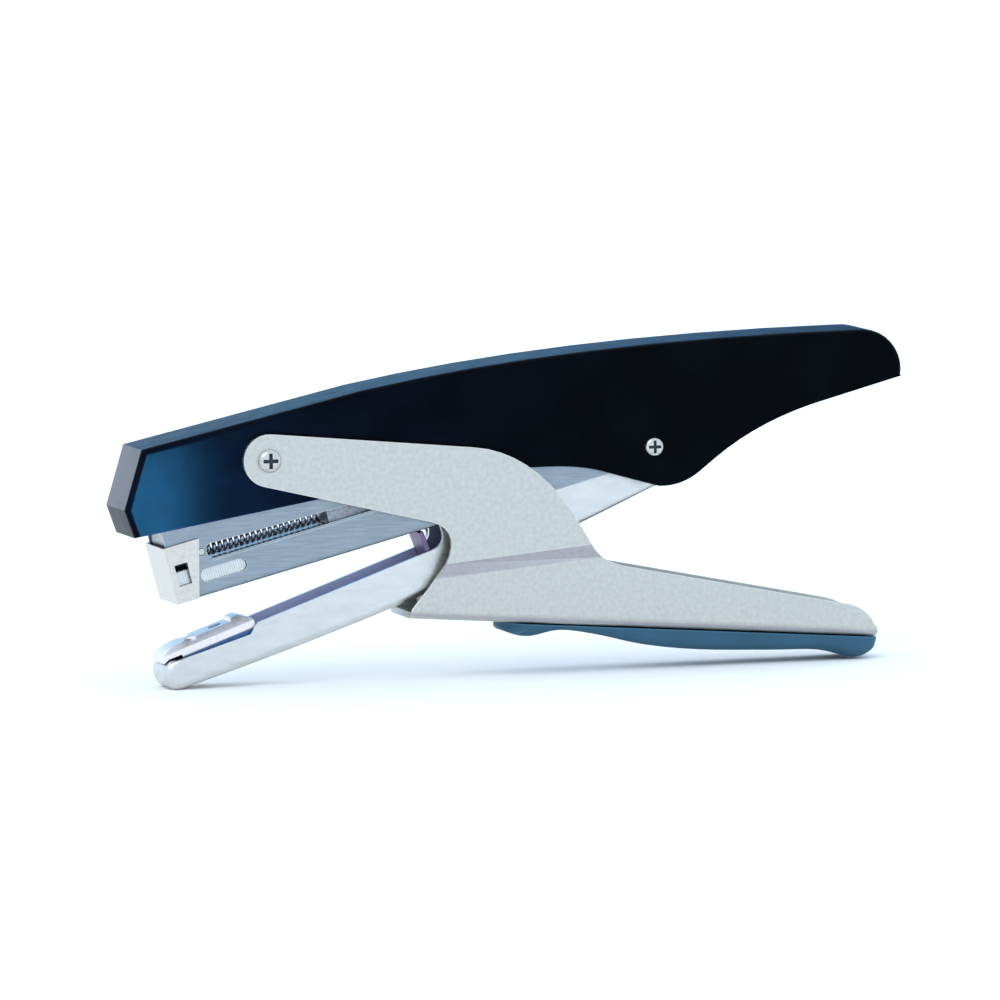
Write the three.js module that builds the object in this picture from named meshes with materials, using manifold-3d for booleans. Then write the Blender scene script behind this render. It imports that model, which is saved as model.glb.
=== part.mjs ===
// Plier stapler, in millimetres. The finished group stands on its nose and its grip: +Z is up, +X runs
// from the head to the handle ends and Y runs across the tool.
// Everything is drawn from the rear pivot, where the jaw and the magazine both turn, and the finished
// group is then moved so that its bounding box stands centred on the origin.
import * as THREE from "three";
import { mergeVertices } from "three/addons/utils/BufferGeometryUtils.js";
import Module from "manifold-3d";

const wasm = await Module();
wasm.setup();

// ---------------------------------------------------------------- driving dimensions

const GAP = 0.3; // clearance between pieces that touch or turn on each other

// Side view of the upper lever, from the rear pivot.
const frontPivot = { x: -83, z: 0.5 };
const leverNoseX = -113.5;
const leverNoseZ = -8.8;
const leverRearX = 54.4;
const leverTopZ = 22.7;
const leverHeadTop = { x: -109.6, z: 3.7 };
const leverHeadBottom = { x: -111.5, z: -14.6 };
const leverRearRadius = 8.4;

// Widths, from the staple outwards.
const stapleCrown = 12.4;
const stapleWire = 0.5;
const stapleLeg = 6;
const magazineWall = 0.5;
const magazineWidth = stapleCrown + 2 * (GAP + magazineWall);
const noseWall = 0.5;
const noseWidth = magazineWidth + 2 * (GAP + noseWall);
const leverWall = 1.1;
const leverWidth = noseWidth + 2 * (GAP + leverWall);
const handleWall = 1.2;
const earWidth = leverWidth + 2 * (GAP + handleWall);
const handleJoggle = 1.8;
const handleWidth = earWidth - 2 * handleJoggle;
const jawWall = 1.1;
const jawWidth = magazineWidth - 2 * (magazineWall + GAP);
const gripWidth = 14.8;

// Bend radii of the folded sheet, on the outside.
const leverBend = 1.35;
const handleBend = 2;
const jawBend = 1.5;
const magazineBend = 0.9;

// Pivots.
const frontSleeveRadius = 2.6;
const frontShankRadius = 1.5;
const frontHeadRadius = 2.45;
const rearSleeveRadius = 2.4;
const rearShankRadius = 1.4;
const rearHeadRadius = 2.05;
const headHeight = 1.3;

// Magazine, in its own frame: u runs forward from the rear pivot, v upward.
const magazineTilt = THREE.MathUtils.degToRad(14);
const magazineFloor = -3.2;
const magazineFront = 106;
const magazineTopFront = 12.9;
const magazineTopSlope = 0.0825;
const magazineWebRear = 55;
const magazineEar = 6.3;
const slotFront = 97.4;
const slotRear = 58;
const slotLow = 4;
const slotHighFront = 7.1;
const slotHighRear = 6.3;
const springLevel = 5.3;
const windowHeight = 2.7;
const windowLevel = 0.9;
const windowFront = 99.9;
const windowRear = 89.8;
const noseFlangeLow = 4.4;
const noseFlangeHigh = 7.6;
const noseTop = 8.9;
const noseWindow = { front: 105, rear: 102.2, low: 0.3, high: 4.8 };
const stripLength = 34;
const pusherLength = 12.7;
const pusherTop = 7.3;
const driverThickness = 0.5;
const driverSlot = 1.1;

// Jaw, in its own frame: u runs forward from the rear pivot, v upward.
const jawTilt = THREE.MathUtils.degToRad(19.7);
const jawEar = 8.5;
const armTop = -2.8;
const armBottomFront = -9.8;
const throatFront = 47.9;
const throatTop = 3.2;
const throatRadius = 3.4;
const noseLength = 113.7;
const shelfRear = 92.2;
const shelfTop = -4.5;
const anvilTop = -0.9;
const anvilRib = 0.7;
const anvilRear = 91.7;
const anvilFront = 108.5;

// Travel of the magazine into the head, which fixes where the driver's tip is at rest.
const magazineTravel = THREE.MathUtils.degToRad(3.73);

// ---------------------------------------------------------------- geometry helpers

// A closed BufferGeometry as a solid for the boolean operations.
function solid(geometry) {
  const bare = geometry.index ? geometry.toNonIndexed() : geometry.clone();
  bare.deleteAttribute("normal");
  bare.deleteAttribute("uv");
  const merged = mergeVertices(bare, 1e-4);
  return new wasm.Manifold(
    new wasm.Mesh({
      numProp: 3,
      vertProperties: merged.attributes.position.array,
      triVerts: new Uint32Array(merged.index.array),
    }),
  );
}

// A solid back to a BufferGeometry.
function geometryOf(body) {
  const mesh = body.getMesh();
  const geometry = new THREE.BufferGeometry();
  geometry.setAttribute("position", new THREE.BufferAttribute(mesh.vertProperties, 3));
  geometry.setIndex(new THREE.BufferAttribute(mesh.triVerts, 1));
  geometry.computeVertexNormals();
  return geometry;
}

const point = (x, z) => new THREE.Vector2(x, z);

// Points drawn in the side view, pushed across the tool from y0 to y1.
function slab(points, y0, y1) {
  const geometry = new THREE.ExtrudeGeometry(new THREE.Shape(points), {
    depth: y1 - y0,
    bevelEnabled: false,
  });
  geometry.rotateX(Math.PI / 2);
  geometry.translate(0, y1, 0);
  return solid(geometry);
}

const box = (x0, x1, y0, y1, z0, z1) =>
  solid(
    new THREE.BoxGeometry(x1 - x0, y1 - y0, z1 - z0).translate(
      (x0 + x1) / 2,
      (y0 + y1) / 2,
      (z0 + z1) / 2,
    ),
  );

// Points drawn across the tool, in y and z, pushed along it from x0 to x1.
function beam(points, x0, x1) {
  const geometry = new THREE.ExtrudeGeometry(new THREE.Shape(points), {
    depth: x1 - x0,
    bevelEnabled: false,
  });
  const [across, upward, along] = [
    new THREE.Vector3(0, 1, 0),
    new THREE.Vector3(0, 0, 1),
    new THREE.Vector3(1, 0, 0),
  ];
  geometry.applyMatrix4(new THREE.Matrix4().makeBasis(across, upward, along));
  geometry.translate(x0, 0, 0);
  return solid(geometry);
}

// A round bar across the tool.
const bar = (x, z, radius, y0, y1, sides = 24) =>
  solid(
    new THREE.CylinderGeometry(radius, radius, y1 - y0, sides).translate(x, (y0 + y1) / 2, z),
  );

// A profile of (radius, y) points turned about an axis across the tool.
const turned = (profile, x, z, sides = 28) =>
  solid(
    new THREE.LatheGeometry(
      profile.map(([radius, y]) => new THREE.Vector2(radius, y)),
      sides,
    ).translate(x, 0, z),
  );

// A slot with round ends, cut right through.
function stadium(x0, x1, z, height, halfWidth) {
  const r = height / 2;
  return bar(x0 + r, z, r, -halfWidth, halfWidth)
    .add(bar(x1 - r, z, r, -halfWidth, halfWidth))
    .add(box(x0 + r, x1 - r, -halfWidth, halfWidth, z - r, z + r));
}

// A straight round rod between two points of the side view, at one y.
function rod(from, to, y, radius, sides = 10) {
  const start = new THREE.Vector3(from.x, y, from.z);
  const end = new THREE.Vector3(to.x, y, to.z);
  const direction = end.clone().sub(start);
  const geometry = new THREE.CylinderGeometry(radius, radius, direction.length(), sides);
  geometry.applyQuaternion(
    new THREE.Quaternion().setFromUnitVectors(
      new THREE.Vector3(0, 1, 0),
      direction.clone().normalize(),
    ),
  );
  geometry.translate(...start.add(end).multiplyScalar(0.5));
  return solid(geometry);
}

// Points along a quadratic or cubic curve, without its first point.
const curve = (...controls) => {
  const bend = controls.length === 3 ? THREE.QuadraticBezierCurve : THREE.CubicBezierCurve;
  return new bend(...controls).getPoints(8).slice(1);
};

// Points along an arc, in degrees from +X towards +Z.
function arc(x, z, radius, from, to, steps) {
  return Array.from({ length: steps + 1 }, (_, i) => {
    const angle = THREE.MathUtils.degToRad(from + ((to - from) * i) / steps);
    return point(x + radius * Math.cos(angle), z + radius * Math.sin(angle));
  });
}

// An open line moved to its right by a distance, corners mitred.
function moved(line, distance) {
  return line.map((p, i) => {
    const before = line[Math.max(i - 1, 0)];
    const after = line[Math.min(i + 1, line.length - 1)];
    const into = p.clone().sub(before).normalize();
    const out = after.clone().sub(p).normalize();
    if (i === 0) into.copy(out);
    if (i === line.length - 1) out.copy(into);
    const along = into.clone().add(out).normalize();
    const miter = distance / Math.max(along.dot(into), 0.5);
    return point(p.x + along.y * miter, p.y - along.x * miter);
  });
}

// A block across the tool, its outline drawn clockwise in the side view as a spine and a rim. The edges
// along the spine are rounded: the spine is drawn in step by step towards each cheek, the rim stays.
function roundedBlock(spine, rim, width, radius, steps = 4) {
  const stations = Array.from({ length: steps + 1 }, (_, i) => {
    const turn = (i / steps) * (Math.PI / 2);
    return { y: width / 2 - radius * (1 - Math.cos(turn)), inset: radius * (1 - Math.sin(turn)) };
  });
  const near = stations.map(({ y, inset }) => ({ y: -y, inset }));
  const rings = [...near, ...stations.reverse()].map(({ y, inset }) => ({
    y,
    points: [...moved(spine, inset), ...rim],
  }));
  const count = spine.length + rim.length;
  const index = [];
  for (let start = 0; start < count * (rings.length - 1); start += count) {
    for (let i = 0; i < count; i++) {
      const j = (i + 1) % count;
      index.push(start + i, start + j, start + count + j);
      index.push(start + i, start + count + j, start + count + i);
    }
  }
  const last = (rings.length - 1) * count;
  for (const [a, b, c] of THREE.ShapeUtils.triangulateShape(rings[0].points, [])) {
    index.push(a, b, c);
  }
  for (const [a, b, c] of THREE.ShapeUtils.triangulateShape(rings.at(-1).points, [])) {
    index.push(last + c, last + b, last + a);
  }
  const position = rings.flatMap(({ y, points }) => points.flatMap((p) => [p.x, y, p.y]));
  const geometry = new THREE.BufferGeometry();
  geometry.setAttribute("position", new THREE.Float32BufferAttribute(position, 3));
  geometry.setIndex(index);
  return solid(geometry);
}

// A channel folded from sheet: the web lies along the spine, both cheeks end at the rim, and mouth closes
// the outline of its hollow beyond the rim.
function foldedChannel({ spine, rim, mouth, width, wall, bend }) {
  const outside = roundedBlock(spine, rim, width, bend);
  const inside = roundedBlock(moved(spine, wall), mouth, width - 2 * wall, bend - wall);
  return outside.subtract(inside);
}

// ---------------------------------------------------------------- materials

const finish = (color, roughness, metalness) => ({ color, roughness, metalness });
const blackEnamel = finish(0x10131c, 0.35, 0.1);
const satinNickel = finish(0xb9c6c8, 0.38, 0.9);
const brightNickel = finish(0xc9ccd2, 0.25, 1);
const moulded = finish(0x27384a, 0.6, 0);
const steel = finish(0x9aa0a8, 0.35, 1);
const spring = finish(0x8f949c, 0.3, 1);
const zinc = finish(0xd6dade, 0.3, 1);

function mesh(name, body, look) {
  const made = new THREE.Mesh(geometryOf(body), new THREE.MeshStandardMaterial(look));
  made.name = name;
  return made;
}

// A group that turns about the rear pivot. Its own x is minus u, and its z is v.
function tilted(angle) {
  const group = new THREE.Group();
  group.rotation.y = -angle;
  return group;
}

// From a tilted frame's (u, v) to the side view's x and z.
const fromTilted = (u, v, angle) => ({
  x: -u * Math.cos(angle) - v * Math.sin(angle),
  z: -u * Math.sin(angle) + v * Math.cos(angle),
});

const stapler = new THREE.Group();
const leverBody = new THREE.Group();
const handleBody = new THREE.Group();
const magazineBody = tilted(magazineTilt);
const jawBody = tilted(jawTilt);
stapler.add(leverBody, handleBody, magazineBody, jawBody);

// ---------------------------------------------------------------- upper lever

const leverInside = leverWidth / 2 - leverWall;
const topBreakX = -62;
const topSlope = (leverTopZ - 8.5 - leverHeadTop.z) / (topBreakX - leverHeadTop.x);
const leverTopAt = (x) => leverHeadTop.z + topSlope * (x - leverHeadTop.x);
const leverRearCentre = point(leverRearX - leverRearRadius, leverTopZ - leverRearRadius);

const leverSpine = [
  point(leverHeadBottom.x, leverHeadBottom.z),
  point(leverNoseX, leverNoseZ),
  point(leverHeadTop.x, leverHeadTop.z),
  point(topBreakX, leverTopAt(topBreakX)),
  ...curve(
    point(topBreakX, leverTopAt(topBreakX)),
    point(-17, leverTopZ - 0.1),
    point(44, leverTopZ),
  ),
  ...arc(leverRearCentre.x, leverRearCentre.y, leverRearRadius, 86, -3, 8),
];

// The lower edge, from the rear forward: it hooks down behind the rear pivot.
const leverRim = [
  point(leverRearX - 0.3, leverRearCentre.y - 1.6),
  point(37.5, 8.3),
  ...curve(point(37.5, 8.3), point(23.5, 4.8), point(13.5, -2.8)),
  point(10, -5.5),
  ...curve(point(10, -5.5), point(6, -8.6), point(1, -8.3)),
  point(-4.5, -6.7),
  point(-11.5, -4.6),
  ...curve(point(-11.5, -4.6), point(-16, -3.4), point(-22, -3.3)),
  point(-43, -3.3),
];

const leverMouth = [
  point(leverRearX - leverWall, -60),
  point(leverHeadBottom.x, -60),
];

const upperLever = foldedChannel({
  spine: leverSpine,
  rim: leverRim,
  mouth: leverMouth,
  width: leverWidth,
  wall: leverWall,
  bend: leverBend,
})
  .subtract(
    bar(frontPivot.x, frontPivot.z, frontSleeveRadius + GAP, -leverWidth, leverWidth, 32),
  )
  .subtract(bar(0, 0, rearShankRadius + GAP, -leverWidth, leverWidth));
leverBody.add(mesh("upper_lever", upperLever, blackEnamel));

// ---------------------------------------------------------------- driver and its carrier

const driverRadius = magazineFront - driverSlot / 2;
const driverTip = magazineTilt - magazineTravel + Math.asin(-magazineFloor / driverRadius) - 0.001;
const driverTop = THREE.MathUtils.degToRad(-0.8);
const driverWidth = stapleCrown - GAP;

// Along a circle about the rear pivot, angles measured below the horizontal.
const onCircle = (radius, angle) => point(-radius * Math.cos(angle), -radius * Math.sin(angle));
const sweep = (radius, from, to, steps) =>
  Array.from({ length: steps + 1 }, (_, i) => onCircle(radius, from + ((to - from) * i) / steps));

const driverOuter = driverRadius + driverThickness / 2;
const driverInner = driverRadius - driverThickness / 2;
const rivetAngles = { driver_rivet_upper: 0.01, driver_rivet_lower: 0.055 };
const rivetRadius = 1;
const rivetDepth = 2.4;

const radialBar = (angle, radius, near, far) =>
  rod(
    { x: onCircle(near, angle).x, z: onCircle(near, angle).y },
    { x: onCircle(far, angle).x, z: onCircle(far, angle).y },
    0,
    radius,
    16,
  );

let driverBlade = slab(
  [
    ...sweep(driverOuter, driverTop, driverTip, 8),
    ...sweep(driverInner, driverTip, driverTop, 8),
  ],
  -driverWidth / 2,
  driverWidth / 2,
);
for (const angle of Object.values(rivetAngles)) {
  const hole = radialBar(angle, rivetRadius + GAP, driverInner - 1, driverOuter + 1);
  driverBlade = driverBlade.subtract(hole);
}
leverBody.add(mesh("driver_blade", driverBlade, steel));

const carrierWidth = jawWidth - GAP;
const carrierFront = driverInner - GAP;
const carrierBottom = 0.085;
const carrierBoss = 4.4;
const carrierHeadroom = leverWall * 1.03 + GAP;
let driverCarrier = slab(
  [
    ...sweep(carrierFront, driverTop, carrierBottom, 4),
    point(-94, -7),
    ...arc(frontPivot.x, frontPivot.z, carrierBoss, 230, 360 + 60, 12),
    point(-86, leverTopAt(-86) - carrierHeadroom),
    point(-carrierFront + 0.2, leverTopAt(-carrierFront) - carrierHeadroom),
  ],
  -carrierWidth / 2,
  carrierWidth / 2,
).subtract(bar(frontPivot.x, frontPivot.z, frontSleeveRadius + GAP, -carrierWidth, carrierWidth));
for (const angle of Object.values(rivetAngles)) {
  const hole = radialBar(angle, rivetRadius + GAP, carrierFront - rivetDepth, driverOuter + 1);
  driverCarrier = driverCarrier.subtract(hole);
}
leverBody.add(mesh("driver_carrier", driverCarrier, steel));

for (const [name, angle] of Object.entries(rivetAngles)) {
  const shank = radialBar(angle, rivetRadius, carrierFront - rivetDepth + GAP, driverOuter + GAP);
  const head = radialBar(angle, rivetRadius * 1.8, driverOuter + GAP, driverOuter + GAP + 0.8);
  leverBody.add(mesh(name, shank.add(head), steel));
}

// ---------------------------------------------------------------- pivots

// A pan-head screw across the tool, its head on the near side, with a cross recess.
function panScrew(x, z, shank, head, seat, end) {
  const dome = [
    [0, seat - headHeight],
    [head * 0.6, seat - headHeight * 0.95],
    [head * 0.88, seat - headHeight * 0.7],
    [head, seat - headHeight * 0.35],
    [head, seat],
    [shank, seat],
    [shank, end],
    [0, end],
  ];
  const arm = head * 0.66;
  const slot = head * 0.16;
  const depth = seat - headHeight * 0.4;
  return turned(dome, x, z)
    .subtract(box(x - arm, x + arm, seat - 2 * headHeight, depth, z - slot, z + slot))
    .subtract(box(x - slot, x + slot, seat - 2 * headHeight, depth, z - arm, z + arm));
}

// The nut on the far side, a low dome round the end of the shank.
function roundNut(x, z, shank, head, seat) {
  const bore = shank + GAP;
  const profile = [
    [bore, seat],
    [head, seat],
    [head, seat + headHeight * 0.4],
    [head * 0.88, seat + headHeight * 0.8],
    [bore, seat + headHeight],
    [bore, seat],
  ];
  return turned(profile, x, z);
}

const tube = (x, z, outer, inner, halfWidth) =>
  bar(x, z, outer, -halfWidth, halfWidth, 32).subtract(bar(x, z, inner, -halfWidth - 1, halfWidth + 1));

const { x: fx, z: fz } = frontPivot;
const earFace = earWidth / 2;
const cheekFace = leverWidth / 2;
const frontSleeve = tube(fx, fz, frontSleeveRadius, frontShankRadius + GAP, earFace - handleWall);
const frontScrew = panScrew(fx, fz, frontShankRadius, frontHeadRadius, -earFace, earFace + headHeight);
const frontNut = roundNut(fx, fz, frontShankRadius, frontHeadRadius, earFace);
handleBody.add(mesh("front_pivot_sleeve", frontSleeve, steel));
handleBody.add(mesh("front_pivot_screw", frontScrew, brightNickel));
handleBody.add(mesh("front_pivot_nut", frontNut, brightNickel));

const rearSleeve = tube(0, 0, rearSleeveRadius, rearShankRadius + GAP, leverInside);
const rearScrew = panScrew(0, 0, rearShankRadius, rearHeadRadius, -cheekFace, cheekFace + headHeight);
const rearNut = roundNut(0, 0, rearShankRadius, rearHeadRadius, cheekFace);
leverBody.add(mesh("rear_pivot_sleeve", rearSleeve, steel));
leverBody.add(mesh("rear_pivot_screw", rearScrew, brightNickel));
leverBody.add(mesh("rear_pivot_nut", rearNut, brightNickel));

// ---------------------------------------------------------------- lower handle

const earRadius = 5.5;
const handleRear = { x: 48.1, z: -41.9 };
const handleFront = { x: -52.9, z: -33.9 };
const handleSlope = (handleRear.z - handleFront.z) / (handleRear.x - handleFront.x);
const handleBottomAt = (x) => handleFront.z + handleSlope * (x - handleFront.x);

// The cheeks' free edge, from the bottom rear corner over the ear to the bottom front corner.
const handleRim = [
  ...curve(point(handleRear.x, handleRear.z), point(47.3, -36.1), point(42, -34.9)),
  point(-6, -24.9),
  ...curve(point(-6, -24.9), point(-12.5, -23.6), point(-14.8, -18.5)),
  point(-18.5, -12.3),
  ...curve(point(-18.5, -12.3), point(-27.3, 0.3), point(-39, 1.5)),
  ...arc(fx, fz, earRadius, 84, 256, 14),
  point(-48.5, -13.7),
  ...curve(point(-48.5, -13.7), point(-44, -14.9), point(-42.6, -19.1), point(-47.1, -25.3)),
];

// The joggle: above this band the cheeks stand out to clear the lever, below it they are drawn in.
const joggleFront = { x: -46, low: -25.7, high: -22.6 };
const joggleRear = { x: -14, low: -22.9, high: -19.9 };
const joggleTilt = Math.atan2(joggleRear.low - joggleFront.low, joggleRear.x - joggleFront.x);
const joggleHeight = (joggleFront.high - joggleFront.low) * Math.cos(joggleTilt);
const joggleNormal = point(-Math.sin(joggleTilt), Math.cos(joggleTilt));
const aboveJoggle = (x, z) =>
  (x - joggleFront.x) * joggleNormal.x + (z - joggleFront.low) * joggleNormal.y;

// A long block whose lower face lies at this height over the joggle's lower line.
function blockAbove(height, thickness) {
  const reach = 200;
  const geometry = new THREE.BoxGeometry(2 * reach, reach, thickness);
  geometry.translate(0, 0, height + thickness / 2);
  geometry.rotateY(-joggleTilt);
  geometry.translate(joggleFront.x, 0, joggleFront.low);
  return solid(geometry);
}

// A piece of a cheek moved outwards, fully above the band and in proportion inside it.
function stoodOut(piece, side) {
  const geometry = geometryOf(piece);
  const position = geometry.attributes.position;
  for (let i = 0; i < position.count; i++) {
    const height = aboveJoggle(position.getX(i), position.getZ(i));
    const share = THREE.MathUtils.clamp(height / joggleHeight, 0, 1);
    position.setY(i, position.getY(i) + side * share * handleJoggle);
  }
  return solid(geometry);
}

const handleSpine = [
  point(handleFront.x, handleFront.z),
  point(handleRear.x, handleRear.z),
];
const reversedRim = [...handleRim].reverse().slice(0, -1);
const handleOutside = roundedBlock(
  [...handleSpine].reverse(),
  reversedRim,
  handleWidth,
  handleBend,
);
const handleMouth = [
  point(handleFront.x - 60, handleFront.z + 1),
  point(handleFront.x - 60, 60),
  point(handleRear.x + 30, 60),
  point(handleRear.x + 30, handleRear.z + 1),
];
const handleInside = roundedBlock(
  moved([...handleSpine].reverse(), handleWall),
  handleMouth,
  handleWidth - 2 * handleWall,
  handleBend - handleWall,
);
const drawnIn = handleOutside.subtract(handleInside);
const joggleReach = 100;
const weld = 0.02; // how far the band reaches into its neighbours, so that the three join as one sheet
let lowerHandle = drawnIn.subtract(blockAbove(0, joggleReach));
for (const side of [-1, 1]) {
  const cheek = drawnIn.intersect(
    side < 0 ? box(-100, 60, -20, 0, -60, 20) : box(-100, 60, 0, 20, -60, 20),
  );
  const band = cheek.intersect(blockAbove(-weld, joggleHeight + 2 * weld));
  const ears = cheek.intersect(blockAbove(joggleHeight, joggleReach));
  lowerHandle = lowerHandle.add(stoodOut(band, side)).add(stoodOut(ears, side));
}

// The tongue lanced from the web and bent up, which pushes the jaw closed.
const tongue = { x: -47.4, z: -29.95, radius: 0.8, width: 8.4 };
const tongueSolid = bar(tongue.x, tongue.z, tongue.radius, -tongue.width / 2, tongue.width / 2).add(
  box(
    tongue.x - tongue.radius,
    tongue.x + tongue.radius,
    -tongue.width / 2,
    tongue.width / 2,
    handleBottomAt(tongue.x) + handleWall / 2,
    tongue.z,
  ),
);
const gripPegs = [-18, 33];
const pegRadius = 2;
lowerHandle = lowerHandle
  .add(tongueSolid)
  .subtract(bar(fx, fz, frontShankRadius + GAP, -earWidth, earWidth));
for (const x of gripPegs) {
  const hole = rod({ x, z: handleBottomAt(x) - 4 }, { x, z: handleBottomAt(x) + 4 }, 0, pegRadius + GAP, 20);
  lowerHandle = lowerHandle.subtract(hole);
}
handleBody.add(mesh("lower_handle", lowerHandle, satinNickel));

// ---------------------------------------------------------------- lower grip

// The moulded grip under the web: a finger rest in front, a long belly and a heel. It is drawn up past the
// web and then cut off just under it.
const gripFront = point(-34.4, -30);
const gripRear = point(48.8, -36);
const gripBelly = new THREE.SplineCurve([
  point(-34, -35.6),
  point(-31, -38),
  point(-26.5, -38.9),
  point(-20, -37.9),
  point(-12, -39.2),
  point(-2, -41.7),
  point(10, -43.3),
  point(26, -44.1),
  point(36, -44.5),
  point(43.5, -46.4),
  point(47.7, -45),
  point(48.8, -42.4),
]).getPoints(44);
const gripEdge = 2.2;
const gripReach = 100;
const underWeb = [
  point(-gripReach, -gripReach),
  point(-gripReach, handleBottomAt(-gripReach) - GAP),
  point(gripReach, handleBottomAt(gripReach) - GAP),
  point(gripReach, -gripReach),
];
let lowerGrip = roundedBlock(
  [gripRear, ...[...gripBelly].reverse(), gripFront],
  [
    point(gripFront.x + gripEdge, gripFront.y + gripEdge),
    point(gripRear.x - gripEdge, gripFront.y + gripEdge),
  ],
  gripWidth,
  gripEdge,
).intersect(slab([...underWeb].reverse(), -gripWidth, gripWidth));
// Its front end is round in plan.
const gripNose = new THREE.Shape();
gripNose.moveTo(60, -gripWidth);
gripNose.lineTo(60, gripWidth);
gripNose.lineTo(gripFront.x + 8, gripWidth / 2 + 0.1);
gripNose.bezierCurveTo(
  gripFront.x - 0.3,
  gripWidth / 2 - 0.4,
  gripFront.x - 0.3,
  0.4 - gripWidth / 2,
  gripFront.x + 8,
  -gripWidth / 2 - 0.1,
);
const gripPlan = new THREE.ExtrudeGeometry(gripNose, { depth: 40, bevelEnabled: false, curveSegments: 10 });
lowerGrip = lowerGrip.intersect(solid(gripPlan.translate(0, 0, -60)));
const pegHead = 0.6;
for (const x of gripPegs) {
  const bottom = handleBottomAt(x) - 1;
  const top = handleBottomAt(x) + handleWall + GAP;
  lowerGrip = lowerGrip
    .add(rod({ x, z: bottom }, { x, z: top + 1 }, 0, pegRadius, 20))
    .add(rod({ x, z: top + GAP }, { x, z: top + 1 }, 0, pegRadius + pegHead, 20));
}
handleBody.add(mesh("lower_grip", lowerGrip, moulded));

// ---------------------------------------------------------------- jaw

// In the jaw's own frame x is minus u, so the drawing below names points by u and v.
const uv = (u, v) => point(-u, v);

const jawSpine = [
  uv(2, -jawEar - 0.1),
  ...curve(uv(2, -jawEar - 0.1), uv(57, -12.9), uv(noseLength - 3, armBottomFront)),
  ...curve(uv(noseLength - 3, armBottomFront), uv(noseLength, armBottomFront), uv(noseLength, -6.7)),
  ...curve(uv(noseLength, -6.7), uv(noseLength, -4), uv(noseLength - 2.4, -3.4)),
];
const jawRim = [
  uv(noseLength - 6, shelfTop + 0.6),
  uv(shelfRear + 1.5, shelfTop),
  uv(shelfRear - 1, armTop),
  uv(throatFront + throatRadius, armTop),
  ...curve(
    uv(throatFront + throatRadius, armTop),
    uv(throatFront, armTop),
    uv(throatFront, armTop + throatRadius),
  ),
  uv(throatFront, throatTop),
  ...arc(0, 0, jawEar, 97, -88, 14),
];
const jawMouth = [
  uv(noseLength - 3, 4),
  uv(noseLength - 3, 40),
  uv(-40, 40),
  uv(-40, -30),
  uv(2, -30),
];
const pivotHole = bar(0, 0, rearSleeveRadius + GAP, -leverWidth, leverWidth, 32);
const jawFrame = foldedChannel({
  spine: jawSpine,
  rim: jawRim,
  mouth: jawMouth,
  width: jawWidth,
  wall: jawWall,
  bend: jawBend,
}).subtract(pivotHole);
jawBody.add(mesh("jaw_frame", jawFrame, satinNickel));

// The anvil: a hardened plate standing in the nose, with two forming pockets for the staple's legs.
const jawInside = jawWidth / 2 - jawWall;
const anvilHalf = jawInside - GAP;
const anvilFoot = -7.8;
const anvilBevel = { width: 1.9, height: 1.2 };
const ribFront = anvilRear + 4;
const pocket = { radius: 1.3, reach: 3.6 };
const rivetU = 99;
const longEdges = beam(
  [
    point(-anvilHalf, anvilFoot - 1),
    point(anvilHalf, anvilFoot - 1),
    point(anvilHalf, anvilTop - anvilBevel.height),
    point(anvilHalf - anvilBevel.width, anvilTop + anvilRib),
    point(anvilBevel.width - anvilHalf, anvilTop + anvilRib),
    point(-anvilHalf, anvilTop - anvilBevel.height),
  ],
  -noseLength,
  -anvilRear,
);
let anvilPlate = slab(
  [
    uv(anvilFront, anvilFoot + 1),
    uv(anvilFront, anvilTop - 2.2),
    uv(noseLength - 2.3, anvilTop - 2.15),
    uv(noseLength - 1, anvilTop - 2.65),
    uv(noseLength - 0.6, anvilTop - 2.4),
    uv(noseLength - 1.3, anvilTop - 1.4),
    uv(noseLength - 2.5, anvilTop - 0.6),
    uv(noseLength - 4.4, anvilTop - 0.15),
    uv(noseLength - 6.2, anvilTop),
    uv(ribFront + 0.6, anvilTop),
    uv(ribFront, anvilTop + anvilRib),
    uv(ribFront - 1.6, anvilTop + anvilRib),
    uv(anvilRear, anvilTop - 0.9),
    uv(anvilRear, anvilFoot),
  ],
  -anvilHalf,
  anvilHalf,
).intersect(longEdges);
for (const side of [-1, 1]) {
  const centre = side * (stapleCrown / 2 - pocket.reach / 2 - 1);
  const trough = new THREE.SphereGeometry(pocket.radius, 12, 8)
    .scale(1, pocket.reach / pocket.radius / 2 + 0.1, 0.55)
    .translate(-driverRadius, centre, anvilTop);
  anvilPlate = anvilPlate.subtract(solid(trough));
}
const anvilRivetRadius = 1.1;
anvilPlate = anvilPlate.subtract(
  rod({ x: -rivetU, z: -20 }, { x: -rivetU, z: 20 }, 0, anvilRivetRadius + GAP, 20),
);
jawBody.add(mesh("anvil_plate", anvilPlate, brightNickel));

const anvilRivet = rod(
  { x: -rivetU, z: anvilFoot + 0.5 },
  { x: -rivetU, z: anvilTop + 0.1 },
  0,
  anvilRivetRadius,
  20,
);
jawBody.add(mesh("anvil_rivet", anvilRivet, zinc));

// The paper stop: an angle plate on the web, upright across the throat.
const stopFront = throatFront + 4.5;
const stopThickness = 1;
const stopTop = 1.4;
const stopFoot = -9.5;
const paperStop = slab(
  [
    uv(stopFront, stopFoot),
    uv(stopFront, stopTop),
    uv(stopFront - stopThickness, stopTop),
    uv(stopFront - stopThickness, stopFoot + stopThickness),
    uv(stopFront - 9, stopFoot + stopThickness + 0.15),
    uv(stopFront - 9, stopFoot + 0.15),
  ],
  -anvilHalf,
  anvilHalf,
);
jawBody.add(mesh("paper_stop", paperStop, satinNickel));

// ---------------------------------------------------------------- magazine

const magazineTopAt = (u) => magazineTopFront - magazineTopSlope * (magazineFront - u);
const webFront = magazineFront - driverSlot;

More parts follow.
